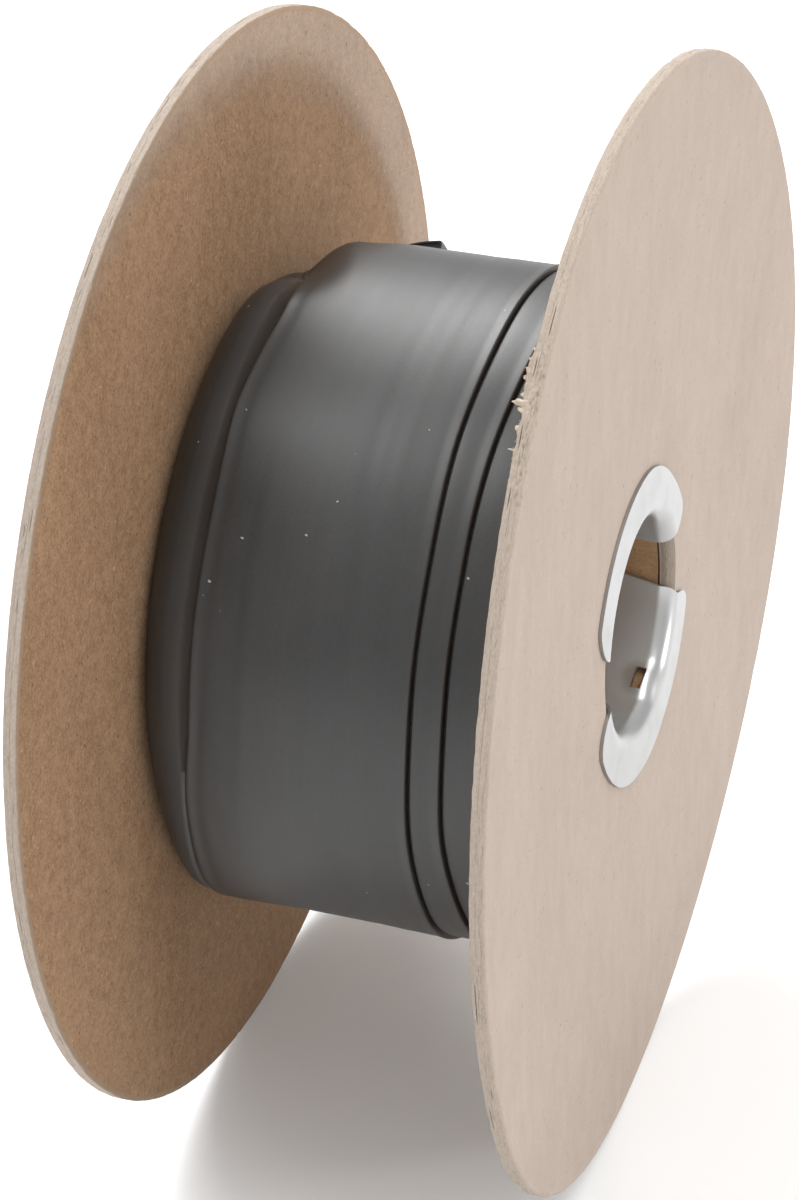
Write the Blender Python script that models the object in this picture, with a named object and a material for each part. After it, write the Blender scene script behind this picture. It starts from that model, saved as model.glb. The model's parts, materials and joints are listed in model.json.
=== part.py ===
"""Heat shrink tube wound on a chipboard reel with pressed steel ferrules.

Metres, +Z up. The reel's axis runs along X and the near flange is at +X. The reel stands on its two rims.
Angles round the axis are in degrees: 0 is the front (-Y), 90 is the top, 180 is the back (+Y).
"""
import math

import bmesh
import bpy

for old in list(bpy.data.objects):
    bpy.data.objects.remove(old, do_unlink=True)

# The reel
FLANGE_R = 0.0825          # flange radius
FLANGE_T = 0.0020          # chipboard thickness
RIM_ROUND = 0.0006         # crushed corner of the rim
HUB_GAP = 0.0567           # between the flanges' inner faces at the hub
BORE_R = 0.0165            # bore of flanges and core
CORE_WALL = 0.0025         # paper core wall
HUB_RING = 0.0058          # flat ring round the ferrule, where a spindle's shoulder bears

# How the flanges are bent, measured at the rim
NEAR_DISH = 0.0024         # the near rim flares outwards
NEAR_LEAN = 0.0019         # leans outwards on one side
NEAR_LEAN_AT = 240.0
NEAR_SADDLE = 0.0013       # and bends like a saddle
NEAR_SADDLE_AT = 169.0
FAR_DISH = 0.0014
FAR_SADDLE = 0.0006
FAR_SADDLE_AT = 76.0
FLARE_POWER = 1.3          # how gently the flare starts at the hub

# The ferrule halves
SHEET_T = 0.0005
ROLL_R = 0.0016            # bend between barrel and lip, on the sheet's middle line
LIP_FLAT = 0.0060          # flat width of the lip beyond the bend
LIP_CORNER = 0.0042        # rounded corner at each end of a lip
BARREL_DEPTH = 0.0105      # from the flange's outer face to the barrel's inner end
UPPER_FROM = 16.0          # angles that the upper half covers
UPPER_TO = 158.0
LOWER_FROM = 188.0         # angles that the lower half covers
LOWER_TO = 345.0
BARB_AT = 241.0            # lanced hole in the lower half's barrel
BARB_DEPTH = 0.0027        # from the flange's outer face to the hole's middle
BARB_LONG = 0.0032         # hole size round the barrel
BARB_WIDE = 0.0022         # hole size along the axis

# The wound tube, flattened
COIL_R = 0.0500            # top of the outermost turn
FLAT_W = 0.0310            # width and thickness of the flattened tube
FLAT_T = 0.0011
FOLD_R = 0.0005            # rounded fold along each edge
TOP_FROM_FAR = 0.0083      # from the far flange to the outermost turn
SECOND_STEP = 0.0044       # the turn below it reaches this much further to the near flange
GROOVE_DEEP = 0.0007       # groove beside a fold
GROOVE_WIDE = 0.0005
LEDGE = 0.0017             # flat part of the lower turns beside the outermost one
SHOULDER_DROP = 0.0045     # beyond it the lower turns fall away to the far flange
END_ROUND = 0.0010         # rounded edge against the near flange
END_LINES = 5              # lines of the turns' edges on each end
END_LINE_DEEP = 0.0003
END_LINE_WIDE = 0.0008

# The tube's loose end, which lifts off the coil and stands a little open
TAIL_START = 205.0         # angle where it leaves the outermost turn
TAIL_CUT = 119.0           # angle of the cut end
TAIL_START_T = 0.0007      # thickness where it starts, inside the outermost turn, and at the cut end
TAIL_CUT_T = 0.0016
TAIL_W = 0.0108            # width left at the cut end, which is trimmed to a taper
TAIL_TAPER = 2.0           # how late it starts to narrow
TAIL_LEFT_UP = -0.0004     # middle of each fold over the coil, at the cut end
TAIL_RIGHT_UP = 0.0008
TAIL_CURL = 1.5            # how gently it starts to rise

# Clearance and mesh
TOUCH = 0.0003             # gap between pieces that touch
CUT_PAST = 0.0010          # how far a cutter passes what it cuts
DISC_STEPS = 72
FACE_RINGS = 4
COIL_STEPS = 64
SHOULDER_STEPS = 4
HALF_STEPS = 18
ROLL_STEPS = 4
TAIL_STEPS = 14
TAIL_POINTS = 8
ROUND_STEPS = 2

CORE_R = BORE_R + CORE_WALL
BARREL_R = BORE_R - TOUCH - SHEET_T / 2.0      # the barrel's middle line
BORE_CRUSH = ROLL_R - SHEET_T / 2.0 - TOUCH    # the bore's edge is crushed under the rolled edge
LIP_R = BARREL_R + ROLL_R + LIP_FLAT
RECESS_R = LIP_R + 2.0 * TOUCH                 # the lips are pressed into the board by TOUCH
HUB_FLAT_R = RECESS_R + HUB_RING
NEAR_FACE = HUB_GAP / 2.0
FAR_FACE = -HUB_GAP / 2.0
COIL_FROM = FAR_FACE + TOUCH
COIL_TO = NEAR_FACE - TOUCH
TOP_LEFT = FAR_FACE + TOP_FROM_FAR
TOP_RIGHT = TOP_LEFT + FLAT_W
SECOND_RIGHT = TOP_RIGHT + SECOND_STEP


def material(name, color, roughness, metallic=0.0):
    mat = bpy.data.materials.new(name)
    mat.use_nodes = True
    shader = mat.node_tree.nodes["Principled BSDF"]
    shader.inputs["Base Color"].default_value = (*color, 1.0)
    shader.inputs["Roughness"].default_value = roughness
    shader.inputs["Metallic"].default_value = metallic
    return mat


def around(angle, radius):
    """The y and z of a point at this angle and radius round the axis."""
    a = math.radians(angle)
    return -radius * math.cos(a), radius * math.sin(a)


def arc(x, r, radius, first, last):
    """Points of an arc in a turned outline of (x, radius). 0 degrees is along +X and 90 is outwards."""
    angles = [math.radians(first + (last - first) * i / ROUND_STEPS) for i in range(ROUND_STEPS + 1)]
    return [(x + radius * math.cos(a), r + radius * math.sin(a)) for a in angles]


def finish(name, bm, mat=None, sharp=35.0):
    bmesh.ops.recalc_face_normals(bm, faces=bm.faces)
    mesh = bpy.data.meshes.new(name)
    bm.to_mesh(mesh)
    bm.free()
    ob = bpy.data.objects.new(name, mesh)
    bpy.context.collection.objects.link(ob)
    if mat:
        mesh.materials.append(mat)
    mesh.shade_smooth()
    mesh.set_sharp_from_angle(angle=math.radians(sharp))
    return ob


def turned(outline, steps):
    """A ring about the X axis: a closed outline of (x, radius), spun all the way round."""
    bm = bmesh.new()
    ring = [bm.verts.new((x, *around(0.0, r))) for x, r in outline]
    edges = [bm.edges.new((a, b)) for a, b in zip(ring, ring[1:] + ring[:1])]
    bmesh.ops.spin(bm, geom=ring + edges, cent=(0.0, 0.0, 0.0), axis=(1.0, 0.0, 0.0),
                   angle=math.tau, steps=steps, use_merge=True)
    return bm


def skinned(sections):
    """A closed skin over a row of outlines. The first half of each runs along one side, the rest back."""
    bm = bmesh.new()
    rows = [[bm.verts.new(point) for point in section] for section in sections]
    for a, b in zip(rows, rows[1:]):
        for j in range(len(a)):
            k = (j + 1) % len(a)
            bm.faces.new((a[j], a[k], b[k], b[j]))
    for end in (rows[0], rows[-1]):
        last = len(end) - 1
        for j in range(len(end) // 2 - 1):
            bm.faces.new((end[j], end[j + 1], end[last - j - 1], end[last - j]))
    return bm


def boolean(ob, other, operation):
    """Gives ob the mesh of a Boolean with the other object, which is then removed."""
    mod = ob.modifiers.new(operation.lower(), "BOOLEAN")
    mod.operation = operation
    mod.solver = "EXACT"
    mod.object = other
    bpy.context.view_layer.update()
    mesh = bpy.data.meshes.new_from_object(ob.evaluated_get(bpy.context.evaluated_depsgraph_get()))
    ob.modifiers.clear()
    ob.data = mesh
    bpy.data.objects.remove(other, do_unlink=True)


def flare(radius):
    """How much of the rim's bend is reached at this radius."""
    if radius <= HUB_FLAT_R:
        return 0.0
    return ((radius - HUB_FLAT_R) / (FLANGE_R - HUB_FLAT_R)) ** FLARE_POWER


def near_bend(angle, radius):
    lean = NEAR_LEAN * math.cos(math.radians(angle - NEAR_LEAN_AT))
    saddle = NEAR_SADDLE * math.cos(math.radians(2.0 * (angle - NEAR_SADDLE_AT)))
    return flare(radius) * (NEAR_DISH + lean + saddle)


def far_bend(angle, radius):
    saddle = FAR_SADDLE * math.cos(math.radians(2.0 * (angle - FAR_SADDLE_AT)))
    return -flare(radius) * (FAR_DISH + saddle)


def flange(name, face, side, bend, mat):
    """A chipboard disc. face is its inner face's x, and side is +1 where its outer face looks to +X."""
    rim = FLANGE_R - RIM_ROUND
    rings = [HUB_FLAT_R + (rim - HUB_FLAT_R) * i / FACE_RINGS for i in range(FACE_RINGS)]
    outline = [(0.0, r) for r in [BORE_R] + rings]
    outline += arc(RIM_ROUND, rim, RIM_ROUND, 180.0, 90.0)
    outline += arc(FLANGE_T - RIM_ROUND, rim, RIM_ROUND, 90.0, 0.0)
    outline += [(FLANGE_T, r) for r in rings[::-1] + [RECESS_R]]
    outline += [(FLANGE_T - TOUCH, r) for r in (RECESS_R, BORE_R + BORE_CRUSH)]
    outline += [(FLANGE_T - TOUCH - BORE_CRUSH, BORE_R)]
    bm = turned([(face + side * depth, r) for depth, r in outline], DISC_STEPS)
    for v in bm.verts:
        angle = math.degrees(math.atan2(v.co.z, -v.co.y))
        v.co.x += bend(angle, math.hypot(v.co.y, v.co.z))
    return finish(name, bm, mat)


def core_tube(mat):
    outline = [(COIL_FROM, BORE_R), (COIL_FROM, CORE_R), (COIL_TO, CORE_R), (COIL_TO, BORE_R)]
    return finish("core_tube", turned(outline, DISC_STEPS), mat)


def lip_reach(from_end):
    """Outer radius of a lip at this distance from its end, with the corner rounded."""
    rest = max(LIP_CORNER - from_end, 0.0)
    return LIP_R - LIP_CORNER + math.sqrt(LIP_CORNER ** 2 - rest ** 2)


def ferrule_section(reach, side, face):
    """The sheet's outline as (x, radius): out along its board side, back along its free side."""
    lip = FLANGE_T + SHEET_T / 2.0
    middle = [(FLANGE_T - BARREL_DEPTH, BARREL_R, 0.0)]
    for i in range(ROLL_STEPS + 1):
        a = math.radians(90.0 * i / ROLL_STEPS)
        middle.append((lip - ROLL_R + ROLL_R * math.sin(a), BARREL_R + ROLL_R * (1.0 - math.cos(a)), a))
    middle.append((lip, reach, math.radians(90.0)))
    half = SHEET_T / 2.0
    board_side = [(face + side * (x - half * math.sin(a)), r + half * math.cos(a)) for x, r, a in middle]
    free_side = [(face + side * (x + half * math.sin(a)), r - half * math.cos(a)) for x, r, a in middle]
    return board_side + free_side[::-1]


def ferrule_half(name, first, last, side, face, mat):
    """A half barrel in the bore, a rolled edge and a lip on the flange's face."""
    sections = []
    for i in range(HALF_STEPS + 1):
        # the sections lie closer together at the ends, where the lip's corners are round
        angle = first + (last - first) * (1.0 - math.cos(math.pi * i / HALF_STEPS)) / 2.0
        reach = lip_reach(math.radians(min(angle - first, last - angle)) * LIP_R)
        sections.append([(x, *around(angle, r)) for x, r in ferrule_section(reach, side, face)])
    return finish(name, skinned(sections), mat)


def barb_cutter(side, face):
    """A block through the barrel's sheet, where the barb is lanced out."""
    bm = bmesh.new()
    bmesh.ops.create_cube(bm, size=1.0)
    block = finish("barb_cutter", bm)
    block.hide_render = True
    block.display_type = "WIRE"
    block.scale = (BARB_WIDE, SHEET_T + 2.0 * CUT_PAST, BARB_LONG)
    block.location = (face + side * (FLANGE_T - BARB_DEPTH), *around(BARB_AT, BARREL_R))
    block.rotation_euler = (math.radians(-BARB_AT), 0.0, 0.0)
    return block


def end_lines(x, inwards):
    """Shallow lines on an end of the coil, where the turns' edges meet, from the bore outwards."""
    inner = CORE_R + TOUCH
    spacing = (COIL_R - FLAT_T - SHOULDER_DROP - inner) / (END_LINES + 1)
    half = END_LINE_WIDE / 2.0
    points = []
    for i in range(1, END_LINES + 1):
        r = inner + spacing * i
        points += [(x, r - half), (x + inwards * END_LINE_DEEP, r), (x, r + half)]
    return points


def right_fold(x, top, beside):
    """A turn's right fold, with its top at this radius, and the groove between it and the turn beside it."""
    fold = arc(x - FOLD_R, top - FOLD_R, FOLD_R, 90.0, 0.0)
    return fold + [(x + GROOVE_WIDE / 2.0, beside - GROOVE_DEEP), (x + GROOVE_WIDE, beside)]


def coil_outline():
    """The wound tube's section: up the far end, over the turns and down the near end."""
    low = COIL_R - FLAT_T
    shoulder = TOP_LEFT - LEDGE - COIL_FROM
    outline = [(COIL_FROM, CORE_R + TOUCH)]
    outline += end_lines(COIL_FROM, 1.0)
    for i in range(SHOULDER_STEPS + 1):
        rise = i / SHOULDER_STEPS
        outline.append((COIL_FROM + shoulder * rise, low - SHOULDER_DROP * (1.0 - rise) ** 2))
    outline += [(TOP_LEFT, low)]
    outline += arc(TOP_LEFT + FOLD_R, COIL_R - FOLD_R, FOLD_R, 180.0, 90.0)
    outline += right_fold(TOP_RIGHT, COIL_R, low)
    outline += right_fold(SECOND_RIGHT, low, low)
    outline += arc(COIL_TO - END_ROUND, low - END_ROUND, END_ROUND, 90.0, 0.0)
    outline += end_lines(COIL_TO, -1.0)[::-1]
    outline += [(COIL_TO, CORE_R + TOUCH)]
    return outline


def tail():
    """The loose end: a flat oval strip that rises out of the outermost turn, tapers and is cut square."""
    half_step = math.pi / TAIL_POINTS
    start = COIL_R - FLAT_T / 2.0
    left = TOP_LEFT + FOLD_R
    start_width = FLAT_W - 2.0 * FOLD_R
    sections = []
    for i in range(TAIL_STEPS + 1):
        t = i / TAIL_STEPS
        angle = TAIL_START + (TAIL_CUT - TAIL_START) * t
        width = start_width + (TAIL_W - start_width) * t ** TAIL_TAPER
        left_up = start + (COIL_R + TAIL_LEFT_UP - start) * t ** TAIL_CURL
        right_up = start + (COIL_R + TAIL_RIGHT_UP - start) * t ** TAIL_CURL
        thick = TAIL_START_T + (TAIL_CUT_T - TAIL_START_T) * t
        section = []
        for j in range(TAIL_POINTS):
            a = math.pi - (2 * j + 1) * half_step
            across = 0.5 + 0.5 * math.cos(a) / math.cos(half_step)
            r = left_up + (right_up - left_up) * across + 0.5 * thick * math.sin(a) / math.cos(half_step)
            section.append((left + width * across, *around(angle, r)))
        sections.append(section)
    return skinned(sections)


def heat_shrink_tube(mat):
    ob = finish("heat_shrink_tube", turned(coil_outline(), COIL_STEPS), mat)
    boolean(ob, finish("tail", tail()), "UNION")
    return ob


def stand_on_rims():
    """Moves the reel to stand on its rims, with the origin under its middle."""
    bpy.context.view_layer.update()
    pieces = [ob for ob in bpy.data.objects if ob.type == "MESH"]
    xs = [(ob.matrix_world @ v.co).x for ob in pieces for v in ob.data.vertices]
    for ob in pieces:
        ob.location.x -= (min(xs) + max(xs)) / 2.0
        ob.location.z += FLANGE_R


flange("flange_near", NEAR_FACE, 1.0, near_bend, material("board near", (0.62, 0.50, 0.40), 0.9))
flange("flange_far", FAR_FACE, -1.0, far_bend, material("board far", (0.62, 0.50, 0.40), 0.9))
core_tube(material("core paper", (0.46, 0.31, 0.19), 0.9))
heat_shrink_tube(material("tube", (0.045, 0.045, 0.045), 0.5))
for end, end_side, end_face in (("near", 1.0, NEAR_FACE), ("far", -1.0, FAR_FACE)):
    for half, start, stop in (("upper", UPPER_FROM, UPPER_TO), ("lower", LOWER_FROM, LOWER_TO)):
        zinc = material("zinc " + end + " " + half, (0.62, 0.62, 0.61), 0.35, 1.0)
        ferrule = ferrule_half("ferrule_" + end + "_" + half, start, stop, end_side, end_face, zinc)
        if half == "lower":
            boolean(ferrule, barb_cutter(end_side, end_face), "DIFFERENCE")
stand_on_rims()
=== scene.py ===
"""The finish of a reel of heat shrink tube: torn chipboard flanges, satin tube and zinc plated ferrules.

Metres, in the frame of the solids. The reel's axis is parallel to X, and the near flange is at +X. Angles
round the axis are in degrees: 0 is the front (-Y), 90 is the top and 180 is the back.
"""
import json
import math

import bmesh
import bpy
import numpy as np
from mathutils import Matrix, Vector, noise


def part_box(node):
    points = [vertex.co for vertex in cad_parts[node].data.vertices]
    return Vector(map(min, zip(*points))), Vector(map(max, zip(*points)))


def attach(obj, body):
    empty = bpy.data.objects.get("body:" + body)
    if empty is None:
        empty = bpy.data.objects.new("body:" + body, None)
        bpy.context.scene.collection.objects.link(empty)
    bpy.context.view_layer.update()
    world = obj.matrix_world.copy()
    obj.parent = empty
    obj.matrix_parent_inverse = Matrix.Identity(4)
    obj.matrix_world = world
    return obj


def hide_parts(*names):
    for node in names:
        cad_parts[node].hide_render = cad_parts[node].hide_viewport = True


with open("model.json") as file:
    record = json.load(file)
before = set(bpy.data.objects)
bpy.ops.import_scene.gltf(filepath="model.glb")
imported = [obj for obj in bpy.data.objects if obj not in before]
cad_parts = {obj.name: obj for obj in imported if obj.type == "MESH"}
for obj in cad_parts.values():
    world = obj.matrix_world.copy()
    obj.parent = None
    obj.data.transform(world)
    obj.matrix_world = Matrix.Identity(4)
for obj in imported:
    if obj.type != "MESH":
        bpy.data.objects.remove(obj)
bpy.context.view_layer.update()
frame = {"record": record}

# Sizes taken from the solids
board_low, board_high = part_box("flange_near")
core_low, core_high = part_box("core_tube")
hub_face = {mount["name"]: mount["pos_m"][0] for mount in frame["record"]["mounts"]}
BOARD_T = 0.0020
FLANGE_R = (board_high.z - board_low.z) / 2.0
AXIS_Z = board_low.z + FLANGE_R
CORE_R = (core_high.z - core_low.z) / 2.0
CORE_WALL = 0.0025
BORE_R = CORE_R - CORE_WALL
NEAR_FACE = hub_face["near_hub_face"] - BOARD_T
FAR_FACE = hub_face["far_hub_face"] + BOARD_T
COIL_R = 0.0500            # top of the outermost turn
TOP_R = COIL_R - 0.0001    # and here, a hair inside it
TOUCH = 0.0003             # gap between pieces that touch

# The flanges' bends, as the solids have them
HUB_FLAT_R = 0.02995
FLARE_POWER = 1.3
NEAR_DISH = 0.0024
NEAR_LEAN = 0.0019
NEAR_LEAN_AT = 240.0
NEAR_SADDLE = 0.0013
NEAR_SADDLE_AT = 169.0
FAR_DISH = 0.0014
FAR_SADDLE = 0.0006
FAR_SADDLE_AT = 76.0
HUB_TILT = 0.0487          # slope of the near hub, which leans the same way as its rim
FRONT_BOW = 0.00045        # a slight bow of the near rim towards the tube, about the torn stretch
FRONT_BOW_AT = 34.0

# The ferrules' sheet
SHEET_T = 0.0005
ROLL_R = 0.0024            # bend between barrel and lip, on the sheet's middle line
BARREL_DEPTH = 0.0105
BARREL_R = BORE_R - TOUCH - SHEET_T / 2.0
LIP_WIDE = 0.0077          # from the barrel's middle line to the lip's outer edge
LIP_R = BARREL_R + LIP_WIDE
# where across the board's thickness, and by how much, the bore's outer corner is crushed
CRUSHED = ((0.96, 0.0018), (0.88, 0.0012), (0.76, 0.0008), (0.6, 0.0004), (0.4, 0.0001), (0.2, 0.0))


# Measuring and making

def wave(degrees, times=1.0):
    """A cosine that swings this many times in a turn."""
    return np.cos(np.radians(degrees) * times)


def smooth(value, low, high):
    """0 below low, 1 above high and an S between them."""
    t = np.clip((value - low) / (high - low), 0.0, 1.0)
    return t * t * (3.0 - 2.0 * t)


def hump(value, middle, half_width):
    """1 in the middle and 0 beyond half_width on either side."""
    return 1.0 - smooth(np.abs(value - middle), 0.0, half_width)


def turn_apart(angle, other):
    """How far two angles are apart, from -180 to 180."""
    return (angle - other + 180.0) % 360.0 - 180.0


def around(x, angle, radius):
    """Points at these places along the axis, angles and radii."""
    x, angle, radius = np.broadcast_arrays(x, angle, radius)
    a = np.radians(angle)
    return np.stack([x, -radius * np.cos(a), AXIS_Z + radius * np.sin(a)], axis=-1)


def rough(points, scale, seed):
    """Random values from -1 to 1 at points, with about one bump in 1 / scale metres."""
    flat = np.asarray(points).reshape(-1, 3) * scale + seed * 7.31
    return np.array([noise.noise(Vector(p)) for p in flat]).reshape(np.asarray(points).shape[:-1])


def placed(name, mesh, sharp=50.0):
    """The mesh as an object with its faces turned outwards and its round parts shaded smooth."""
    bm = bmesh.new()
    bm.from_mesh(mesh)
    bmesh.ops.recalc_face_normals(bm, faces=bm.faces)
    bm.to_mesh(mesh)
    bm.free()
    mesh.shade_smooth()
    mesh.set_sharp_from_angle(angle=math.radians(sharp))
    piece = bpy.data.objects.new(name, mesh)
    bpy.context.scene.collection.objects.link(piece)
    return piece


def skin(name, points, finishes, ring=True, finish_of=None, sharp=50.0, marks=None):
    """A closed mesh over rows of closed outlines. Rows form a ring, or else both ends are capped.

    finish_of gives the index of each column's finish, and marks gives values for each point by name.
    """
    rows, columns = points.shape[:2]
    index = np.arange(rows * columns).reshape(rows, columns)
    here = index if ring else index[:-1]
    below = np.roll(index, -1, axis=0) if ring else index[1:]
    quads = np.stack([here, np.roll(here, -1, 1), np.roll(below, -1, 1), below], -1).reshape(-1, 4)
    faces = quads.tolist()
    if not ring:
        for end in (index[0].tolist(), index[-1].tolist()):
            for j in range(columns // 2 - 1):
                faces.append([end[j], end[j + 1], end[columns - j - 2], end[columns - j - 1]])
    mesh = bpy.data.meshes.new(name)
    mesh.from_pydata(points.reshape(-1, 3).tolist(), [], faces)
    for key, values in (marks or {}).items():
        layer = mesh.attributes.new(key, "FLOAT", "POINT")
        each = np.broadcast_to(values, (rows, columns)).ravel().astype(np.float32)
        layer.data.foreach_set("value", each)
    for finish in finishes:
        mesh.materials.append(finish)
    if finish_of is not None:
        wanted = np.zeros(len(faces), np.int32)
        wanted[:len(quads)] = np.tile(finish_of, len(quads) // columns)
        mesh.polygons.foreach_set("material_index", wanted)
    return placed(name, mesh, sharp)


def stands_for(piece, node, slot):
    """The piece is shown for this solid and moves with the reel; slot is not used."""
    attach(piece, "root")
    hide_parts(node)


# Shader sums

class Wire:
    """A shader value that takes part in Python sums."""

    def __init__(self, finish, socket):
        self.finish = finish
        self.socket = socket

    def math(self, operation, *values):
        return self.finish.node("ShaderNodeMath", {"operation": operation}, dict(enumerate(values)))

    def __add__(self, other):
        return self.math("ADD", self, other)

    def __sub__(self, other):
        return self.math("SUBTRACT", self, other)

    def __rsub__(self, other):
        return self.math("SUBTRACT", other, self)

    def __mul__(self, other):
        return self.math("MULTIPLY", self, other)

    __radd__ = __add__
    __rmul__ = __mul__

    def step(self, low, high):
        """0 below low, 1 above high and an S between them. High may be the smaller one."""
        return self.finish.node("ShaderNodeMapRange", {"interpolation_type": "SMOOTHSTEP"},
                                {"Value": self, "From Min": low, "From Max": high})


class Finish:
    """A material that is painted by adding nodes."""

    def __init__(self, name, roughness=0.5, metallic=0.0):
        self.material = bpy.data.materials.new(name)
        self.material.use_nodes = True
        self.tree = self.material.node_tree
        self.shader = self.tree.nodes["Principled BSDF"]
        self.shader.inputs["Roughness"].default_value = roughness
        self.shader.inputs["Metallic"].default_value = metallic
        self.place = self.node("ShaderNodeTexCoord", {}, {}, "Object")

    def node(self, kind, settings, values, output=0):
        """Adds a node, sets what it is, then gives its sockets their values or links."""
        node = self.tree.nodes.new(kind)
        for key, setting in settings.items():
            setattr(node, key, setting)
        for key, value in values.items():
            self.join(value, node.inputs[key])
        return Wire(self, node.outputs[output])

    def join(self, value, socket):
        if isinstance(value, Wire):
            self.tree.links.new(value.socket, socket)
        elif socket.type == "RGBA" and len(value) == 3:
            socket.default_value = (*value, 1.0)
        else:
            socket.default_value = value

    def mark(self, name):
        """A value that the mesh holds at each point."""
        return self.node("ShaderNodeAttribute", {"attribute_name": name}, {}, "Fac")

    def blots(self, scale, detail=2.0, roughness=0.5):
        """Soft random values about 0.5. scale is the number of blots in a metre along X, Y and Z."""
        place = self.node("ShaderNodeVectorMath", {"operation": "MULTIPLY"}, {0: self.place, 1: scale})
        return self.node("ShaderNodeTexNoise", {}, {
            "Vector": place, "Scale": 1.0, "Detail": detail, "Roughness": roughness})

    def mixed(self, amount, first, second):
        """The first colour where amount is 0 and the second where it is 1."""
        return self.node("ShaderNodeMix", {"data_type": "RGBA"}, {0: amount, 6: first, 7: second}, 2)

    def dented(self, height, depth):
        """A bump of this depth in metres."""
        return self.node("ShaderNodeBump", {}, {
            "Height": height, "Distance": depth, "Strength": 1.0}, "Normal")

    def paint(self, **sockets):
        """Feeds the shader's sockets, such as base_color=, and gives back the material."""
        for name, value in sockets.items():
            self.join(value, self.shader.inputs[name.replace("_", " ").title()])
        return self.material


def even(size):
    """The same number of blots along X, Y and Z."""
    return (size, size, size)


def pressed_board(name, pale, dark, grain):
    """A face of chipboard: pressed fibres, flecks, and a faint upright mottle from the board machine."""
    finish = Finish(name, roughness=0.93)
    fibre = finish.blots(even(3000.0), detail=2.0, roughness=0.6)
    fleck = finish.blots((1900.0, 1900.0, 1500.0), detail=2.0, roughness=0.6)
    clump = finish.blots(even(520.0), detail=2.0)
    mottle = finish.blots((260.0, 260.0, 110.0), detail=3.0, roughness=0.6)
    cloud = finish.blots((44.0, 44.0, 30.0), detail=2.0)
    amount = 0.5 + (fibre - 0.5) * (1.5 * grain) + (fleck - 0.5) * (1.4 * grain)
    amount = amount + (clump - 0.5) * (1.0 * grain)
    amount = amount + (mottle - 0.5) * (1.15 - 0.9 * grain) + (cloud - 0.5) * 0.7
    color = finish.mixed(amount, pale, dark)
    # painted light: a paler crescent by the far board's rim, where the side lamp's light passes the near
    # board, takes the outer face's colour
    outer = finish.mixed(amount, OUTER_PALE, OUTER_DARK)
    color = finish.mixed(finish.mark("faded") * LIT_CRESCENT_SHARE, color, outer)
    straw = finish.blots(even(1400.0), detail=1.0).step(0.71, 0.77)
    color = finish.mixed(straw * (0.5 * grain), color, [min(1.6 * c, 0.8) for c in pale])
    chip = finish.blots(even(1150.0), detail=1.0).step(0.715, 0.765)
    color = finish.mixed(chip * (0.35 + 0.3 * grain), color, [0.5 * c for c in dark])
    height = fibre * 0.6 + clump * 0.4
    return finish.paint(base_color=color, normal=finish.dented(height, 0.00010 * grain))


def cut_board(name):
    """The board's cut edge: pale plies with short dark lines between them, and a browner inner edge."""
    finish = Finish(name, roughness=0.95)
    across = finish.mark("across")
    pit = finish.mark("pit")
    ply = finish.blots((4300.0, 260.0, 260.0), detail=3.0, roughness=0.65)
    fibre = finish.blots((3600.0, 2000.0, 2000.0), detail=3.0, roughness=0.65)
    dash = finish.blots((5200.0, 420.0, 420.0), detail=2.0).step(0.59, 0.67)
    amount = 0.45 + (ply - 0.5) * 1.0 + (fibre - 0.5) * 1.3
    color = finish.mixed(amount, EDGE_PALE, EDGE_DARK)
    color = finish.mixed(dash * across.step(0.25, 0.45) * across.step(0.95, 0.85) * 0.5, color, CREVICE)
    # a thin broken line where the middle plies meet
    wander = across + (finish.blots(even(130.0), detail=2.0) - 0.5) * 0.16
    line = wander.step(0.38, 0.415) * wander.step(0.46, 0.425)
    broken = finish.blots(even(330.0), detail=2.0).step(0.42, 0.58)
    color = finish.mixed(line * broken * 0.6, color, CREVICE)
    color = finish.mixed(across.step(0.045, 0.0) * 0.55, color, EDGE_BROWN)
    outer = finish.mixed(amount, OUTER_PALE, OUTER_DARK)
    color = finish.mixed(across.step(0.72, 0.98) * 0.85, color, outer)
    # painted shade: darker in the parted slits, torn hollows and crater, and in the bore
    color = finish.mixed(pit, color, SHADE_IN_RECESS)
    height = ply * 0.45 + fibre * 0.55
    return finish.paint(base_color=color, normal=finish.dented(height, 0.00022))


def torn_fibre():
    """Pale fibres and crumbs of board that stand out of a tear."""
    finish = Finish("torn fibre", roughness=0.95)
    blot = finish.blots(even(3000.0), detail=3.0)
    color = finish.mixed((blot - 0.5) * 2.0 + 0.5, FIBRE_PALE, FIBRE_DARK)
    return finish.paint(base_color=color, normal=finish.dented(blot, 0.00008))


def wound_paper():
    """The core's kraft paper, wound in a spiral, with the seam of each ply."""
    finish = Finish("kraft core", roughness=0.9)
    fibre = finish.blots(even(2400.0), detail=3.0, roughness=0.6)
    cloud = finish.blots(even(160.0), detail=2.0)
    amount = 0.5 + (fibre - 0.5) * 1.4 + (cloud - 0.5) * 1.0
    color = finish.mixed(amount, KRAFT_PALE, KRAFT_DARK)
    color = finish.mixed(finish.mark("seam"), color, KRAFT_SEAM)
    return finish.paint(base_color=color, normal=finish.dented(fibre, 0.00008))


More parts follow.
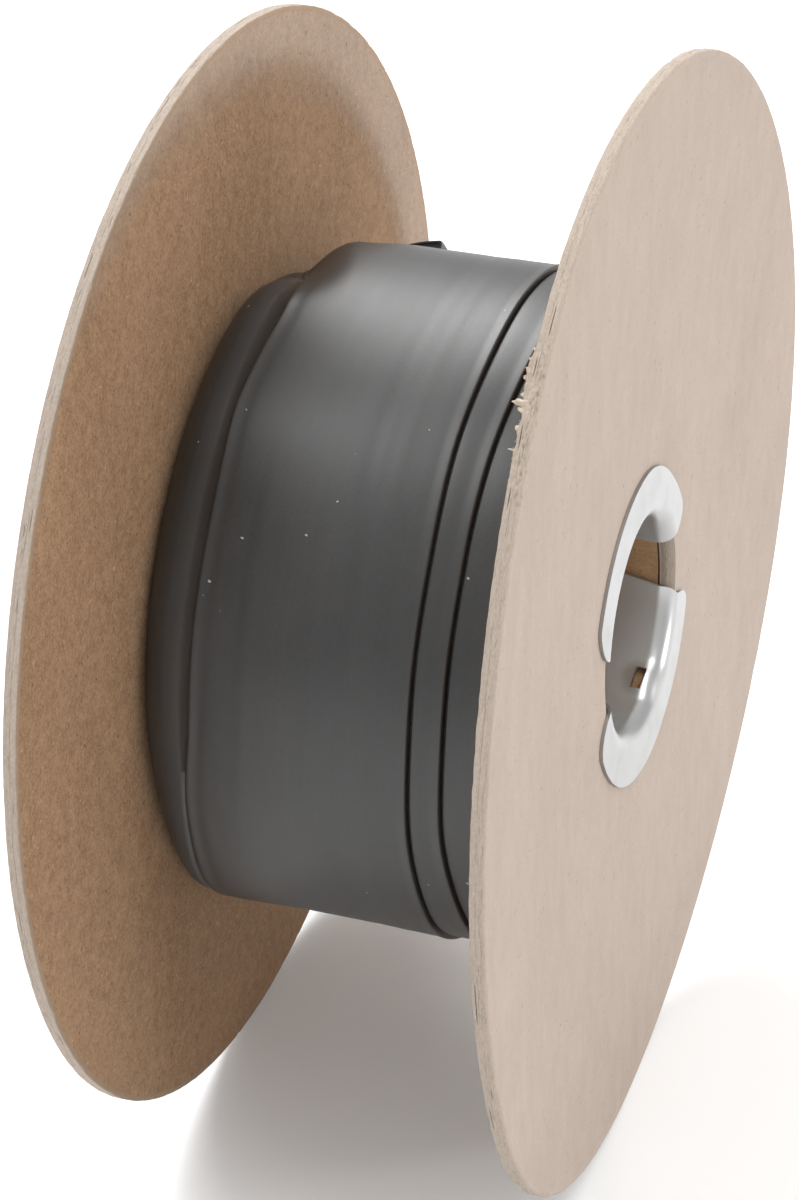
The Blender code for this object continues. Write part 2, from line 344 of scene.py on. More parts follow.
def satin_tube():
    """Black polyolefin tube: a satin skin with faint drawn lines, haze and a few specks of dust."""
    finish = Finish("satin tube")
    drawn = finish.blots((900.0, 14.0, 14.0), detail=3.0, roughness=0.6)
    band = finish.blots((230.0, 11.0, 11.0), detail=2.0)
    haze = finish.blots((60.0, 38.0, 38.0), detail=3.0)
    grain = finish.blots(even(2400.0), detail=2.0)
    dust = finish.blots(even(1250.0), detail=0.0).step(0.892, 0.902)
    soil = finish.blots(even(300.0), detail=0.0).step(0.87, 0.90)
    amount = 0.45 + (haze - 0.5) * 1.3 + (band - 0.5) * 0.6
    amount = amount + (drawn - 0.5) * 0.3 + (grain - 0.5) * 0.5
    color = finish.mixed(amount, TUBE_DARK, TUBE_PALE)
    color = finish.mixed(soil * 0.45, color, SOIL)
    color = finish.mixed(dust * 0.7, color, DUST)
    gloss = 0.43 + (haze - 0.5) * 0.20 + (band - 0.5) * 0.08 + (grain - 0.5) * 0.08
    height = drawn * 0.3 + grain * 0.7
    finish.join(TUBE_SHEEN, finish.shader.inputs["Specular IOR Level"])
    return finish.paint(base_color=color, roughness=gloss, normal=finish.dented(height, 0.000016))


def zinc_plate(name):
    """Bright zinc on pressed steel: clean and satin on the lip; in the barrel it is paler and partly
    diffuse, painted light that makes the barrel look lighter.
    """
    finish = Finish(name, roughness=0.3, metallic=1.0)
    barrel = finish.mark("barrel")
    smear = finish.blots(even(170.0), detail=2.0, roughness=0.55)
    spot = finish.blots(even(800.0), detail=1.0).step(0.70, 0.80)
    color = finish.mixed(smear.step(0.40, 0.80), ZINC_PALE, ZINC_DULL)
    color = finish.mixed(spot * 0.12, color, ZINC_SPOT)
    # painted light: the barrel gets a paler zinc colour, and below less metal, so its inside looks lighter
    # than the lip's sheet
    color = finish.mixed(barrel * 0.8, color, ZINC_BARREL_PAINTED_LIGHT)
    gloss = 0.32 + (smear - 0.5) * 0.08 + spot * 0.06
    metal = 1.0 - barrel * 0.22
    return finish.paint(base_color=color, roughness=gloss, metallic=metal,
                        normal=finish.dented(smear, 0.000006))


# The finishes' colours
OUTER_PALE = (0.405, 0.332, 0.280)
OUTER_DARK = (0.325, 0.260, 0.216)
# the inner faces are browner and more saturated than the outer faces: painted shade, standing for the warm
# light bounced between the two boards
INNER_PALE = (0.470, 0.300, 0.175)
INNER_DARK = (0.272, 0.162, 0.087)
EDGE_PALE = (0.475, 0.400, 0.338)
EDGE_DARK = (0.300, 0.245, 0.197)
EDGE_BROWN = (0.33, 0.20, 0.10)
CREVICE = (0.18, 0.140, 0.105)
# the colour of the painted shade in slits, tears and the bore
SHADE_IN_RECESS = (0.12, 0.09, 0.065)
FIBRE_PALE = (0.58, 0.49, 0.40)
FIBRE_DARK = (0.40, 0.32, 0.25)
KRAFT_PALE = (0.40, 0.24, 0.12)
KRAFT_DARK = (0.19, 0.11, 0.055)
KRAFT_SEAM = (0.07, 0.04, 0.025)
TUBE_DARK = (0.016, 0.016, 0.016)
TUBE_PALE = (0.045, 0.045, 0.045)
TUBE_SHEEN = 0.60
SOIL = (0.02, 0.02, 0.02)
DUST = (0.50, 0.50, 0.48)
ZINC_PALE = (0.40, 0.40, 0.40)
ZINC_DULL = (0.36, 0.36, 0.358)
ZINC_BARREL_PAINTED_LIGHT = (0.66, 0.66, 0.645)
ZINC_SPOT = (0.45, 0.43, 0.40)
LIT_CRESCENT_SHARE = 0.65          # how far the painted lit crescent turns the colour towards the outer face's


# The flanges

INNER_ROUND = 0.00018      # the edge's corners
RIM_ROUND = 0.00050
BEND_SHARE = 0.995         # the rims stay a hair inside the solids' reach
EDGE_ROWS = (0.0, 0.03, 0.07, 0.12, 0.18, 0.22, 0.25, 0.28, 0.34, 0.40, 0.46, 0.52,
             0.57, 0.60, 0.63, 0.69, 0.75, 0.81, 0.86, 0.91, 0.96, 1.0)
SLITS = (0.60, 0.25)       # where across the edge the plies have parted
SLIT_AT = 44.6             # the longest open slit
CRATER_AT = 48.4           # a pit in the torn stretch
RIM_STEPS = 1200
TORN_FROM = 36.0           # the torn stretch of the near rim, which has closer steps
TORN_TO = 55.0
TORN_STEP = 0.07
SHADOW_SHIFT_Y = 0.0109            # middle of the near board's shadow on the far board, off the reel's axis; the painted lit crescent lies outside it
SHADOW_SHIFT_Z = 0.0063
BORE_SHADE = 0.60          # how much painted shade darkens the cut board in the bore
LIP_GAP = 0.00003          # between a lip and the board's face


def flare(radius):
    """How much of the rim's bend is reached at this radius."""
    return np.clip((radius - HUB_FLAT_R) / (FLANGE_R - HUB_FLAT_R), 0.0, None) ** FLARE_POWER


def near_bend(angle, radius):
    """How far the near board is bent along X at this place."""
    bend = NEAR_DISH + NEAR_SADDLE * wave(angle - NEAR_SADDLE_AT, 2.0)
    bend = bend - FRONT_BOW * (1.0 - smooth(np.abs(turn_apart(angle, FRONT_BOW_AT)), 25.0, 60.0))
    lean = np.interp(radius, [0.0, LIP_R, FLANGE_R], [0.0, HUB_TILT * LIP_R, NEAR_LEAN])
    return BEND_SHARE * (flare(radius) * bend + lean * wave(angle - NEAR_LEAN_AT))


def far_bend(angle, radius):
    """The same for the far board, which has no lean."""
    return -BEND_SHARE * flare(radius) * (FAR_DISH + FAR_SADDLE * wave(angle - FAR_SADDLE_AT, 2.0))


def edge_relief(angle, across, seed, torn):
    """How far the cut edge lies below the rim's circle, and how much painted shade darkens its slits,
    tears and crater.
    """
    points = around(across * BOARD_T, angle, FLANGE_R)
    fine = rough(points, 900.0, seed) * 0.5 + 0.5
    lumps = rough(points * (3.0, 1.0, 1.0), 240.0, seed + 1) * 0.5 + 0.5
    relief = 0.00008 * fine + 0.00010 * lumps
    for corner, from_corner in ((INNER_ROUND, across), (RIM_ROUND, 1.0 - across)):
        short = corner - np.minimum(from_corner * BOARD_T, corner)
        relief = relief + corner - np.sqrt(corner ** 2 - short ** 2)
    pit_shade = np.zeros_like(relief)
    for number, place in enumerate(SLITS):
        along = around(np.full_like(angle, 0.05 * number), angle, FLANGE_R)
        often = 0.30 + 0.15 * number
        parted = smooth(rough(along, 160.0, seed + 5 + number), often, often + 0.2)
        parted = np.maximum(parted, torn * number * hump(angle, SLIT_AT, 1.5))
        slit = parted * hump(across, place, 0.030)
        relief = relief + slit * 0.00030
        pit_shade = np.maximum(pit_shade, slit * 0.5)
    chip = smooth(rough(around(np.zeros_like(angle), angle, FLANGE_R), 420.0, seed + 9), 0.15, 0.6)
    relief = relief + chip * hump(across, 0.0, 0.14) * 0.00025
    chip = smooth(rough(around(np.full_like(angle, 0.02), angle, FLANGE_R), 300.0, seed + 12), 0.2, 0.7)
    relief = relief + chip * hump(across, 1.0, 0.12) * 0.00015
    ragged = torn * smooth(angle, TORN_FROM, TORN_FROM + 5.0)
    ragged = ragged * (1.0 - smooth(angle, TORN_TO - 4.0, TORN_TO))
    tufts = rough(points * (2.5, 1.0, 1.0), 1300.0, seed + 3)
    deep = 0.00030 * lumps ** 2 + 0.00012 * fine + 0.00016 * np.clip(tufts, 0.0, None)
    relief = relief + ragged * deep
    pit_shade = np.maximum(pit_shade, ragged * 0.45 * smooth(tufts, 0.25, 0.6) * smooth(across, 0.25, 0.4))
    crater = torn * hump(np.hypot((angle - CRATER_AT) / 0.5, (across - 0.74) / 0.16), 0.0, 1.0)
    return relief + crater * 0.0003, np.maximum(pit_shade, crater * 0.35)


def flange(name, node, slot, inner_face, side, bend, places, seed, torn, finishes):
    """A chipboard disc: its inner face, cut edge and outer face, and its bore with a crushed corner."""
    face_r = np.linspace(HUB_FLAT_R, FLANGE_R - RIM_ROUND - 0.0004, 12)
    inner = [(0.0, r, 0) for r in (BORE_R, LIP_R, *face_r)]
    edge = [(t, FLANGE_R, 1) for t in EDGE_ROWS]
    outer = [(1.0, r, 2) for r in (*face_r[::-1], LIP_R, BORE_R + 0.0026)]
    bore = [(t, BORE_R + crush, 1) for t, crush in CRUSHED]
    across, radius, part = (np.array(column) for column in zip(*(inner + edge + outer + bore)))
    angle = places[:, None] + 0.0 * across
    across = across + 0.0 * angle
    radius = radius + 0.0 * angle
    is_edge = slice(len(inner), len(inner) + len(edge))
    relief, pit_shade = edge_relief(angle[:, is_edge], across[:, is_edge], seed, torn)
    radius[:, is_edge] -= relief
    # painted shade for the edge's slits and tears, and for the whole bore
    pit = np.zeros_like(radius)
    pit[:, is_edge] = pit_shade
    pit[:, -len(bore):] = BORE_SHADE
    # the inner corner is frayed, so its line wanders a little along the axis
    rim = around(np.zeros(len(places)), places, FLANGE_R)
    fray = rough(rim, 650.0, seed + 15)[:, None]
    fine = rough(rim, 1900.0, seed + 16)[:, None]
    loose = torn * hump(angle, 48.0, 9.0)
    frayed = 0.00005 * fray + loose * (0.00022 * fray + 0.00016 * fine)
    frayed = frayed - torn * 0.00040 * hump(angle, 50.0, 4.0)
    frayed = frayed * np.clip(1.0 - across / 0.22, 0.0, 1.0)
    frayed = frayed * smooth(radius, FLANGE_R - 0.0030, FLANGE_R - 0.0008)
    x = inner_face + side * (across * BOARD_T + frayed) + bend(angle, radius)
    # painted light: outside the near board's shadow, shifted by the side lamp's slant, the far board's
    # inner face is painted paler near the rim
    from_shadow_centre = np.hypot(-radius * wave(angle) + SHADOW_SHIFT_Y, radius * np.sin(np.radians(angle)) + SHADOW_SHIFT_Z)
    faded = smooth(from_shadow_centre, FLANGE_R - 0.004, FLANGE_R + 0.003) * (1.0 - torn)
    # the last ring of the inner face belongs to the edge's first row of quads
    part[len(inner) - 1] = 1
    piece = skin(name, around(x, angle, radius), finishes, finish_of=part, sharp=60.0,
                 marks={"across": across, "pit": pit, "faded": faded})
    stands_for(piece, node, slot)


# Torn fibres and crumbs on the near flange's inner edge

CRUMBS = (                 # angle, reach beyond the face, length along the rim, thickness
    (52.5, 0.0004, 0.0006, 0.0004),
    (51.5, 0.0006, 0.0008, 0.0005),
    (50.6, 0.0007, 0.0007, 0.0005),
    (49.8, 0.0008, 0.0007, 0.0005),
    (48.2, 0.0006, 0.0008, 0.0005),
    (47.5, 0.0014, 0.0009, 0.0008),
    (46.9, 0.0006, 0.0007, 0.0005),
    (45.2, 0.0004, 0.0010, 0.0004),
    (43.4, 0.0008, 0.0003, 0.0003),
)
STRANDS = (                # angle, spread, count, length, thickness
    (47.5, 0.5, 4, 0.0009, 0.00005),
    (50.2, 0.8, 4, 0.0006, 0.00005),
    (43.3, 0.2, 2, 0.0010, 0.00006),
    (46.0, 9.0, 26, 0.00035, 0.00004),
    (62.0, 60.0, 40, 0.00020, 0.00003),
)


def rim_frame(angle, across=0.0):
    """A place on the near rim's inner corner, and the directions along the rim and outwards."""
    radius = FLANGE_R - 0.0005
    x = NEAR_FACE + across * BOARD_T + near_bend(angle, radius)
    a = math.radians(angle)
    return (Vector(around(x, angle, radius).tolist()), Vector((0.0, math.sin(a), math.cos(a))),
            Vector((0.0, -math.cos(a), math.sin(a))))


def crumb(bm, angle, reach, long, thick):
    """A torn lump of board: a ball pulled out along the axis and crumpled."""
    place, along, out = rim_frame(angle)
    made = bmesh.ops.create_icosphere(bm, subdivisions=4, radius=1.0)["verts"]
    for v in made:
        ball = v.co.copy()
        swell = 1.0 + 0.35 * noise.noise(ball * 1.3 + Vector(even(angle))) + 0.16 * noise.noise(ball * 3.5)
        swell += 0.06 * noise.noise(ball * 9.0)
        tip = max(-ball.x, 0.0)
        size = Vector((reach, (0.5 - 0.10 * tip) * long, (0.5 - 0.1 * tip) * thick))
        ball = Vector((ball.x * size.x, ball.y * size.y, ball.z * size.z)) * swell
        aside = along * (ball.y + 0.25 * tip * long)
        v.co = place + Vector((ball.x, 0.0, 0.0)) + aside + out * (ball.z - 0.0001)


def strand(bm, start, heading, curl, length, thick, phase):
    """A tapered, curling fibre."""
    rows = 8
    sides = 6
    rings = []
    for i in range(rows):
        t = i / (rows - 1)
        aside = heading.orthogonal().normalized()
        other = heading.cross(aside)
        radius = thick * (1.0 - 0.75 * t) * (1.0 + 0.3 * math.sin(phase * 3.7 + i * 1.9))
        turns = [math.tau * j / sides for j in range(sides)]
        ways = [aside * math.cos(a) + other * math.sin(a) for a in turns]
        rings.append([bm.verts.new(start + way * radius) for way in ways])
        heading = (heading + curl * (1.0 / rows)).normalized()
        start = start + heading * (length / (rows - 1))
    for ring, after in zip(rings, rings[1:]):
        for j in range(sides):
            k = (j + 1) % sides
            bm.faces.new((ring[j], ring[k], after[k], after[j]))
    bm.faces.new(rings[0])
    bm.faces.new(rings[-1][::-1])


def torn_edge(finish):
    """The crumbs and fibres together."""
    draw = np.random.default_rng(5)
    bm = bmesh.new()
    for angle, reach, long, thick in CRUMBS:
        crumb(bm, angle, reach, long, thick)
    for angle, spread, count, length, thick in STRANDS:
        for number in range(count):
            at = angle + spread * draw.uniform(-1.0, 1.0)
            start, along, out = rim_frame(at, abs(draw.normal(0.0, 0.08)))
            heading = Vector((-1.0, 0.0, 0.0)) + out * draw.uniform(-0.5, 0.1)
            heading = heading + along * draw.uniform(-0.8, 0.8)
            curl = along * draw.uniform(-2.2, 2.2) - out * draw.uniform(0.2, 1.4)
            curl = curl + Vector((draw.uniform(-0.6, 1.4), 0.0, 0.0))
            strand(bm, start, heading.normalized(), curl, length * draw.uniform(0.5, 1.1),
                   thick * draw.uniform(0.6, 1.3), number + at)
    mesh = bpy.data.meshes.new("torn_edge_fibres")
    bm.to_mesh(mesh)
    bm.free()
    mesh.materials.append(finish)
    piece = placed("torn_edge_fibres", mesh)
    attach(piece, "root")


# The core

PLY_RISE = 0.034           # how far a ply's spiral rises in a turn
SEAM_DEEP = 0.00025


def core(finish):
    """The paper tube, whose near end follows the leaning hub, with the plies' spiral seams."""
    rows = 120
    rise = np.linspace(0.0, 1.0, rows)
    along = np.concatenate([rise, rise[::-1]])
    radius = np.concatenate([np.full(rows, CORE_R), np.full(rows, BORE_R)])
    angle = np.linspace(0.0, 360.0, 240, endpoint=False)[:, None] + 0.0 * along
    far = FAR_FACE + TOUCH
    end = NEAR_FACE - TOUCH + near_bend(angle, radius)
    x = far + (end - far) * along
    ply = (x / PLY_RISE + angle / 360.0) % 1.0
    seam = hump(ply, 0.5, 0.020) * (radius < CORE_R - TOUCH)
    radius = radius + seam * SEAM_DEEP
    piece = skin("paper_core", around(x, angle, radius), [finish], marks={"seam": seam * 0.8})
    stands_for(piece, "core_tube", "core_paper")


# The wound tube

COIL_STEPS = 512
STEP = 0.0006              # from each turn down to the one beside it
LEDGE_STEP = 0.00025       # from the outermost turn down to the shoulder
SHOULDER_DROP = 0.0046     # from there down to the far flange
SHOULDER_WIDE = 0.0066
SLIDE = 0.0051             # near the top the left fold has slid down to the far flange
SLIDE_WIDE = 0.0075
SAG = 0.0006               # and the turn sags beside it
SAG_FROM = -0.0215
SAG_TO = -0.0125
BULGE = 0.0004             # low down the outermost turn swells at its left
BULGE_AT = -60.0
BULGE_HALF = 55.0
BULGE_FROM = 0.001         # and the swelling fades this far from the fold
BULGE_TO = 0.014
LEFT_FOLD_R = 0.0006       # rounded folds at the edges of a turn
LOW_FOLD_R = 0.0015        # added to the left one low down
RIGHT_FOLD_R = 0.0003
END_TURNS = 14             # turns on each end of the coil
GROOVE_HALF = 0.0005       # half the width of a groove between them, and its depth
GROOVE_DEEP = 0.00035
GHOST = 0.00004            # faint lines of the turns below
# the outermost turn beside its left fold: distances from the fold
BESIDE_LEFT = (0.0003, 0.0007, 0.0012, 0.0018, 0.0024, 0.0031, 0.0038, 0.0046, 0.0054, 0.0062)
# a turn beside its right fold: how far back and how far up
BESIDE_RIGHT = ((0.0024, 0.0), (0.0018, -0.00002), (0.0013, -0.00002), (0.0009, 0.00004))
# the groove beyond that fold: how far out and how far down
GROOVE = ((0.00002, 0.0002), (0.00005, 0.0004), (0.00010, 0.0004),
          (0.00014, 0.0002), (0.00020, 0.00005), (0.00050, 0.0))
# edges of the outermost turn and of the one below it: angle, place along the axis
LEFT_EDGE = ((-75.0, -0.0272), (-55.0, -0.0270), (-40.0, -0.0254), (-20.0, -0.0232), (0.0, -0.0215),
             (24.0, -0.0213), (46.0, -0.0213), (55.0, -0.0216), (63.0, -0.0211), (74.0, -0.0207),
             (84.0, -0.0213), (91.0, -0.0228), (98.0, -0.0252), (108.0, -0.0280), (116.0, -0.0289),
             (180.0, -0.0289), (230.0, -0.0272))
RIGHT_EDGE = ((-60.0, 0.0101), (-20.0, 0.0100), (40.0, 0.0099), (80.0, 0.0104), (180.0, 0.0104))
SECOND_EDGE = ((-60.0, 0.0158), (-37.0, 0.0154), (-10.0, 0.0145), (40.0, 0.0143), (77.0, 0.0158),
               (180.0, 0.0160))


def wandering(edge, angle):
    """A turn's edge along the axis, which wanders as it goes round."""
    at, x = zip(*edge)
    places = np.linspace(0.0, 360.0, 720, endpoint=False)
    bent = np.interp(places, at, x, period=360.0)
    window = np.hanning(25)
    wrapped = np.concatenate([bent[-12:], bent, bent[:12]])
    softened = np.convolve(wrapped, window / window.sum(), "valid")
    fine = 0.00012 * wave(angle - 20.0, 5.0) + 0.00008 * wave(angle - 70.0, 11.0)
    return np.interp(angle, places, softened, period=360.0) + fine


def crest(angle):
    """Where round the coil its left side has slid down."""
    return smooth(angle, 76.0, 104.0) * (1.0 - smooth(angle, 150.0, 200.0))


def sunk_top(x, angle):
    """How much lower the outermost turn is near the top, left of its middle."""
    aside = np.clip((x - wandering(LEFT_EDGE, angle)) / SLIDE_WIDE, 0.0, 1.0)
    slide = SLIDE * (1.0 - np.sin(0.5 * np.pi * aside))
    sag = SAG * (1.0 - smooth(x, SAG_FROM, SAG_TO))
    return crest(angle) * (slide + sag)


def coil(finish):
    """The wound tube: shoulder, outermost turn, the turns that step out beside it, and both ends."""
    angle = np.linspace(0.0, 360.0, COIL_STEPS, endpoint=False)[:, None]
    left = wandering(LEFT_EDGE, angle)
    right = wandering(RIGHT_EDGE, angle)
    second = wandering(SECOND_EDGE, angle)
    sunk = crest(angle)
    low = hump(turn_apart(angle, BULGE_AT), 0.0, BULGE_HALF)
    bulge = BULGE * low
    fold = LEFT_FOLD_R + LOW_FOLD_R * low
    far = FAR_FACE + TOUCH + 0.0 * angle
    inner = CORE_R + TOUCH
    columns = []

    def add(x, r):
        columns.append((x + 0.0 * angle, r + 0.0 * angle))

    def bead(x, r, size, first, last, count=7):
        """A rounded fold about this middle. 0 degrees is along +X and 90 is outwards."""
        for a in np.radians(np.linspace(first, last, count)):
            add(x + size * math.cos(a), r + size * math.sin(a))

    def right_fold(x, height, beside):
        """A right fold's bead, then the groove down to the turn beside it."""
        for back, up in BESIDE_RIGHT:
            add(x - back, height + up)
        bead(x - RIGHT_FOLD_R, height + 0.00010 - RIGHT_FOLD_R, RIGHT_FOLD_R, 100.0, 0.0)
        for out, down in GROOVE:
            add(x + out, beside - down)

    def outermost(x, extra):
        """A place on the outermost turn, which swells low down and has slid at the top."""
        swell = bulge * (1.0 - smooth(x - left - fold, BULGE_FROM, BULGE_TO))
        add(x, TOP_R + swell - sunk_top(x - fold * sunk, angle) + extra)

    def end_groove(face, r, inwards):
        """A groove between two turns on an end of the coil, cut in to this side of it."""
        add(face, r - inwards * GROOVE_HALF)
        add(face + inwards * GROOVE_DEEP, r)
        add(face, r + inwards * GROOVE_HALF)

    # the far end, from the core outwards
    add(far, inner)
    ledge_r = COIL_R - LEDGE_STEP - (SLIDE + SAG + STEP - LEDGE_STEP) * sunk
    foot = ledge_r - SHOULDER_DROP * (1.0 - sunk)
    for i in range(1, END_TURNS):
        end_groove(far, inner + (foot - inner) * i / END_TURNS, 1.0)
    # the shoulder, where the lower turns have slipped towards the far flange
    ledge = np.minimum(far + SHOULDER_WIDE, left - 0.0002)
    for t in np.linspace(0.0, 1.0, 16):
        step = 0.00006 * hump(t, 0.62, 0.08)
        add(far + (ledge - far) * t, ledge_r + (foot - ledge_r) * (1.0 - t) ** 3 + step)
    # the outermost turn, with its left fold's bead and a shallow hollow beside it
    crown = TOP_R + bulge - (SLIDE + SAG) * sunk
    bead(left + fold, crown + 0.00005 - fold, fold, 150.0, 95.0, 9)
    for out in BESIDE_LEFT:
        outermost(left + fold + out, -0.00007 * hump(out, 0.0012, 0.0010))
    start = left + fold + 0.0070
    for t in np.linspace(0.0, 1.0, 30):
        x = start + (right - 0.0030 - start) * t
        lines = hump(x, left + 0.0080, 0.0009) + hump(x, right - 0.0065, 0.0012)
        lines = lines - hump(x, right - 0.0105, 0.0016)
        outermost(x, GHOST * lines)
    # the two turns that step out beside it
    right_fold(right, TOP_R, TOP_R - STEP)
    for t in (0.3, 0.5, 0.7):
        add(right + 0.00060 + (second - right - 0.0030) * t, TOP_R - STEP + 0.00002)
    low_r = TOP_R - 2.0 * STEP
    right_fold(second, TOP_R - STEP, low_r)
    end = NEAR_FACE - TOUCH + np.minimum(near_bend(angle, low_r), 0.0)
    for t in (0.25, 0.5, 0.75):
        add(second + 0.00085 + (end - 0.0009 - second - 0.00085) * t, low_r)
    bead(end - LEFT_FOLD_R, low_r - LEFT_FOLD_R, LEFT_FOLD_R, 90.0, 0.0, 5)
    # the near end, back to the core
    for i in range(END_TURNS - 1, 0, -1):
        r = inner + (low_r - 0.0012 - inner) * i / END_TURNS
        end_groove(NEAR_FACE - TOUCH + np.minimum(near_bend(angle, r), 0.0), r, -1.0)
    add(NEAR_FACE - TOUCH + np.minimum(near_bend(angle, inner), 0.0), inner)
    x, radius = (np.concatenate(values, 1) for values in zip(*columns))
    outside = smooth(radius, COIL_R - 0.005, COIL_R - 0.002)
    soft = 0.00016 * wave(angle - 30.0, 3.0) * wave(x * 9000.0) + 0.00010 * wave(angle - 110.0, 7.0)
    radius = radius + soft * outside - 0.0001 * outside
    piece = skin("wound_tube", around(x, angle, radius), [finish], sharp=65.0)
    stands_for(piece, "heat_shrink_tube", "tube")


# The loose end

TAIL_START = 205.0         # angles where it leaves the outermost turn and where it is cut
TAIL_CUT = 119.0
TAIL_LEFT = FAR_FACE + 0.0088
TAIL_FULL_W = 0.0300       # width where it starts and at the cut
TAIL_CUT_W = 0.0108
TAIL_T = 0.0007            # thickness where it lies flat
TAIL_SUNK = 0.0006         # how deep its underside lies in the turn
TAIL_FOLD_R = 0.00035
TAIL_POINTS = 26           # points across it
TAIL_WALL = 0.00030
LIFTS_FROM = 0.88          # share of its length at which it leaves the coil
MOUTH_HIGH = 0.0016        # the cut end gapes at its right fold
MOUTH_LONG = 0.0056
MOUTH_END = 0.993          # share of its length at which the hollow stops


def tail_outline(t, angle, inset):
    """The loose end's section at t, from 0 at its start to 1 at the cut, as places and radii."""
    left = TAIL_LEFT + inset
    width = TAIL_FULL_W + (TAIL_CUT_W - TAIL_FULL_W) * smooth(t, 0.0, 0.9) - 2.0 * inset
    u = 0.5 - 0.5 * np.cos(np.pi * (np.arange(TAIL_POINTS) + 0.5) / TAIL_POINTS)
    lifted = smooth(t, LIFTS_FROM, 1.0)
    gape = lifted * np.clip((u - 1.0) * width / MOUTH_LONG + 1.0, 0.0, 1.0)
    high = TAIL_T + (MOUTH_HIGH - TAIL_T) * gape
    # the folds at both edges are round, and the opened one is nearly upright
    fold = TAIL_FOLD_R / width
    fold_round = np.sqrt(1.0 - (np.clip(np.abs(u - 0.5) - 0.5 + fold, 0.0, None) / fold) ** 2)
    half = np.maximum(0.5 * high - inset, 0.00003)
    x = left + width * u
    base = TOP_R - sunk_top(x, angle) - TAIL_SUNK + 0.00045 * smooth(u, 0.25, 0.9) * lifted
    base = base - 0.0003 * (1.0 - smooth(t, LIFTS_FROM - 0.05, 1.0))
    lower = base + 0.5 * high - half * fold_round
    upper = base + 0.5 * high + half * fold_round
    return np.concatenate([x, x[::-1]]), np.concatenate([lower, upper[::-1]])


def loose_end(finish):
    """The tube's end: it peels off the outermost turn and ends in a cut that gapes at the right fold."""
    rows = []
    outside = [(t, 0.0) for t in np.linspace(0.0, 1.0, 70)]
    inside = [(t, TAIL_WALL) for t in np.linspace(1.0, MOUTH_END, 12)]
    for t, inset in outside + inside:
        angle = TAIL_START + (TAIL_CUT - TAIL_START) * t
        x, radius = tail_outline(t, angle, inset)
        rows.append(around(x, angle, radius))
    piece = skin("loose_end", np.stack(rows), [finish], ring=False, sharp=70.0)
    stands_for(piece, "heat_shrink_tube", "tube")


# The ferrules

UPPER = (12.5, 158.0)      # angles that each half covers
LOWER = (187.5, 345.0)
LOWER_SLANT = (-8.5, 2.0)  # how much further round its barrel's inner corners reach
LOWER_STEP = 5.0           # how much further back its lip starts than its barrel
# how far each end of a lip is cut back at its outer corner, and how round that corner is
UPPER_ENDS = ((0.0056, 0.2), (0.0026, 1.0))
LOWER_ENDS = ((0.0028, 1.0), (0.0044, 0.6))
UPPER_WIDE = 1.07          # share of the common width of lip
UPPER_NARROWS = 0.30       # how much of it is lost towards the back
NARROWS_FROM = 92.0        # and between which angles
NARROWS_TO = 138.0
HOLE_AT = 241.5            # lanced hole in the lower half's barrel
HOLE_DEPTH = 0.0019        # from the flange's outer face to its middle
HOLE_SIZE = (0.0014, 0.0030, 0.0036)
HOLE_RIM = 0.0006          # how far the sheet is pushed in about it
HOLE_RIM_LONG = 0.0034     # how far that reaches along the axis
HOLE_RIM_WIDE = 15.0       # and round it, in degrees


def cut_back(size, turned, reach):
    """How many degrees a lip's end is cut back at this share of its width, with this round a corner."""
    corner = turned * (1.0 - np.sqrt(1.0 - reach ** 2)) + (1.0 - turned) * reach ** 1.4
    return np.degrees(size / LIP_R) * corner


